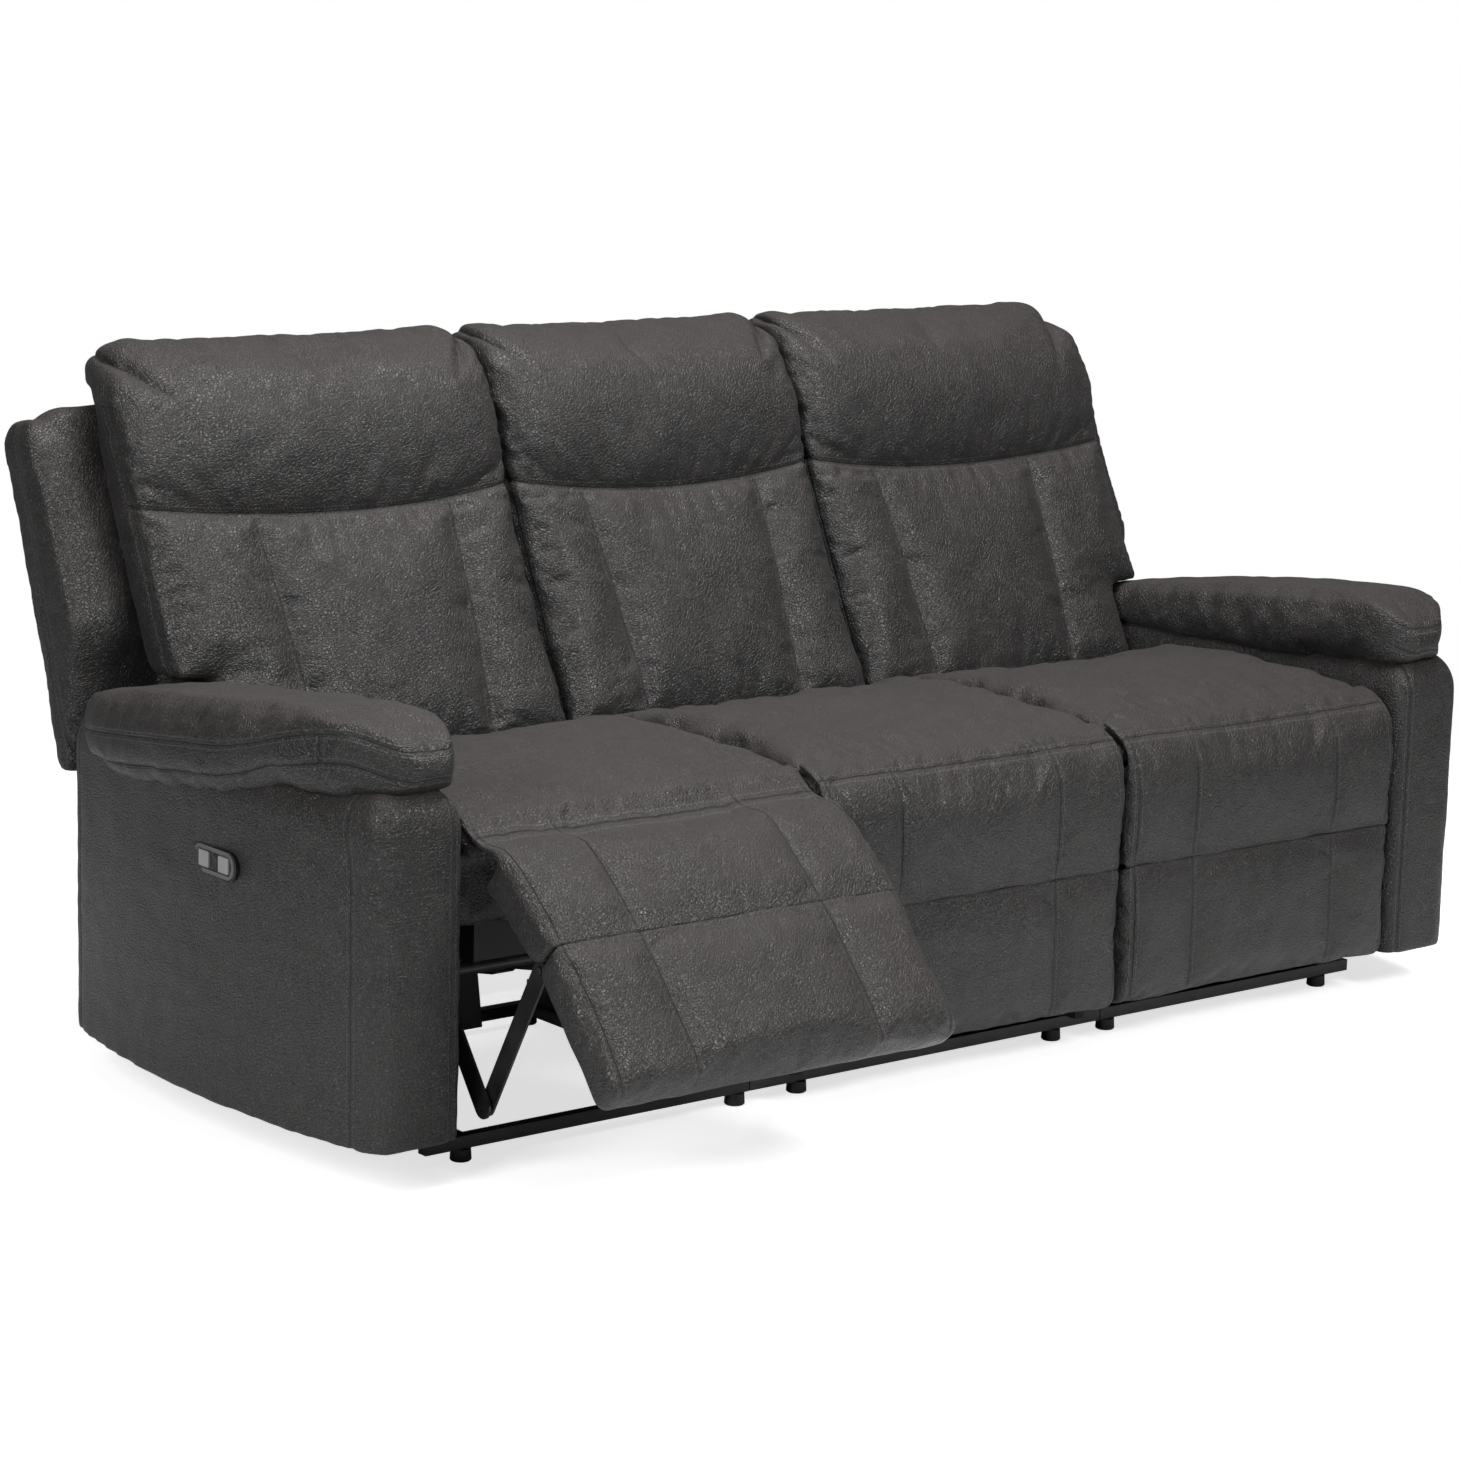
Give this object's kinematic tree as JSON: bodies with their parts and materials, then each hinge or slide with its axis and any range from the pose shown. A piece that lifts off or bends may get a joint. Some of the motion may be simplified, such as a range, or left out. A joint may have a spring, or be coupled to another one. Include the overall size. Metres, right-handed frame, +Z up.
{
  "type": "power reclining sofa",
  "caption": "Wide power reclining sofa with bowed arms, pillow arm pads, high padded backs and fold-out footrests at both end seats, one partly open.",
  "frame": {"origin": "centre of the sofa's footprint box as stored (left footrest partly open), at floor level", "axes": "+X to the right seen from the front, +Y to the rear, +Z up"},
  "size_m": [2.196, 1.307, 1.0371],
  "materials": {
    "leather": "satin",
    "steel": "satin",
    "plywood": "matte",
    "foot_plastic": "matte",
    "motor_housing": "matte",
    "control_panel": "satin",
    "button": "matte"
  },
  "bodies": {
    "root": {"left_arm": "leather", "left_arm_pad": "leather", "left_control_plate": "control_panel", "left_mechanism_frame": "steel", "left_foot_front_1": "foot_plastic", "left_foot_front_2": "foot_plastic", "left_foot_rear_1": "foot_plastic", "left_foot_rear_2": "foot_plastic", "left_seat_deck": "plywood", "left_seat_cushion": "leather", "left_motor": "motor_housing", "right_arm": "leather", "right_arm_pad": "leather", "right_control_plate": "control_panel", "right_mechanism_frame": "steel", "right_foot_front_1": "foot_plastic", "right_foot_front_2": "foot_plastic", "right_foot_rear_1": "foot_plastic", "right_foot_rear_2": "foot_plastic", "right_seat_deck": "plywood", "right_seat_cushion": "leather", "right_motor": "motor_housing", "centre_base_frame": "steel", "centre_foot_front_1": "foot_plastic", "centre_foot_front_2": "foot_plastic", "centre_foot_rear_1": "foot_plastic", "centre_foot_rear_2": "foot_plastic", "centre_seat_box": "plywood", "centre_seat_cushion": "leather", "centre_front_upper_panel": "leather", "centre_front_lower_panel": "leather", "centre_back_shell": "leather", "centre_back_cushion": "leather", "rear_panel": "leather"},
    "left_bridge": {"left_bridge_pad": "leather"},
    "left_footrest": {"left_footrest_pad": "leather", "left_footrest_board": "plywood"},
    "left_drive": {"left_drive_shaft": "steel", "left_drive_link_inner": "steel", "left_drive_link_outer": "steel"},
    "left_lift": {"left_lift_link_inner": "steel", "left_lift_link_outer": "steel"},
    "left_rod": {"left_motor_rod": "steel"},
    "left_back": {"left_back_shell": "leather", "left_back_cushion": "leather"},
    "left_open_button": {"left_button_open": "button"},
    "left_close_button": {"left_button_close": "button"},
    "right_bridge": {"right_bridge_pad": "leather"},
    "right_footrest": {"right_footrest_pad": "leather", "right_footrest_board": "plywood"},
    "right_drive": {"right_drive_shaft": "steel", "right_drive_link_inner": "steel", "right_drive_link_outer": "steel"},
    "right_lift": {"right_lift_link_inner": "steel", "right_lift_link_outer": "steel"},
    "right_rod": {"right_motor_rod": "steel"},
    "right_back": {"right_back_shell": "leather", "right_back_cushion": "leather"},
    "right_open_button": {"right_button_open": "button"},
    "right_close_button": {"right_button_close": "button"}
  },
  "joints": [
    {"name": "left_footrest_open", "type": "hinge", "parent": "root", "child": "left_bridge", "pos_m": [-0.592, -0.35458, 0.496], "axis": [-1, 0, 0], "range_deg": [-52, 45]},
    {"name": "left_footrest_fold", "type": "hinge", "parent": "left_bridge", "child": "left_footrest", "pos_m": [-0.592, -0.524, 0.36363], "axis": [-1, 0, 0], "range_deg": [-9.6, 11.07]},
    {"name": "left_drive_turn", "type": "hinge", "parent": "root", "child": "left_drive", "pos_m": [-0.592, -0.22088, 0.257], "axis": [-1, 0, 0], "range_deg": [-53.87, 46.63]},
    {"name": "left_lift_turn", "type": "hinge", "parent": "left_drive", "child": "left_lift", "pos_m": [-0.592, -0.33958, 0.09965], "axis": [-1, 0, 0], "range_deg": [-49.47, 57.14]},
    {"name": "left_rod_slide", "type": "slide", "parent": "root", "child": "left_rod", "axis": [0, -0.9854, 0.1703], "range_m": [-0.0383, 0.03317]},
    {"name": "left_back_recline", "type": "hinge", "parent": "root", "child": "left_back", "pos_m": [-0.592, 0.29042, 0.385], "axis": [-1, 0, 0], "range_deg": [0, 35]},
    {"name": "left_open_button_press", "type": "slide", "parent": "root", "child": "left_open_button", "axis": [1, 0, 0], "range_m": [0, 0.002], "stiffness_N_per_m": 800},
    {"name": "left_close_button_press", "type": "slide", "parent": "root", "child": "left_close_button", "axis": [1, 0, 0], "range_m": [0, 0.002], "stiffness_N_per_m": 800},
    {"name": "right_footrest_open", "type": "hinge", "parent": "root", "child": "right_bridge", "pos_m": [0.592, -0.35458, 0.496], "axis": [-1, 0, 0], "range_deg": [0, 97]},
    {"name": "right_footrest_fold", "type": "hinge", "parent": "right_bridge", "child": "right_footrest", "pos_m": [0.592, -0.35458, 0.281], "axis": [-1, 0, 0], "range_deg": [-20.52, 0]},
    {"name": "right_drive_turn", "type": "hinge", "parent": "root", "child": "right_drive", "pos_m": [0.592, -0.22088, 0.257], "axis": [-1, 0, 0], "range_deg": [0, 100.35]},
    {"name": "right_lift_turn", "type": "hinge", "parent": "right_drive", "child": "right_lift", "pos_m": [0.592, -0.16428, 0.0682], "axis": [-1, 0, 0], "range_deg": [-106.46, 0]},
    {"name": "right_rod_slide", "type": "slide", "parent": "root", "child": "right_rod", "axis": [0, -0.9854, 0.1703], "range_m": [0, 0.07126]},
    {"name": "right_back_recline", "type": "hinge", "parent": "root", "child": "right_back", "pos_m": [0.592, 0.29042, 0.385], "axis": [-1, 0, 0], "range_deg": [0, 35]},
    {"name": "right_open_button_press", "type": "slide", "parent": "root", "child": "right_open_button", "axis": [-1, 0, 0], "range_m": [0, 0.002], "stiffness_N_per_m": 800},
    {"name": "right_close_button_press", "type": "slide", "parent": "root", "child": "right_close_button", "axis": [-1, 0, 0], "range_m": [0, 0.002], "stiffness_N_per_m": 800}
  ],
  "couplings": [
    {"joint": "left_footrest_fold", "follows": "left_footrest_open", "ratio": -0.21},
    {"joint": "left_drive_turn", "follows": "left_footrest_open", "ratio": 1.033},
    {"joint": "left_lift_turn", "follows": "left_footrest_open", "ratio": -1.096},
    {"joint": "left_rod_slide", "follows": "left_footrest_open", "m_per_rad": 0.041975},
    {"joint": "right_footrest_fold", "follows": "right_footrest_open", "ratio": -0.21},
    {"joint": "right_drive_turn", "follows": "right_footrest_open", "ratio": 1.033},
    {"joint": "right_lift_turn", "follows": "right_footrest_open", "ratio": -1.096},
    {"joint": "right_rod_slide", "follows": "right_footrest_open", "m_per_rad": 0.041975}
  ]
}
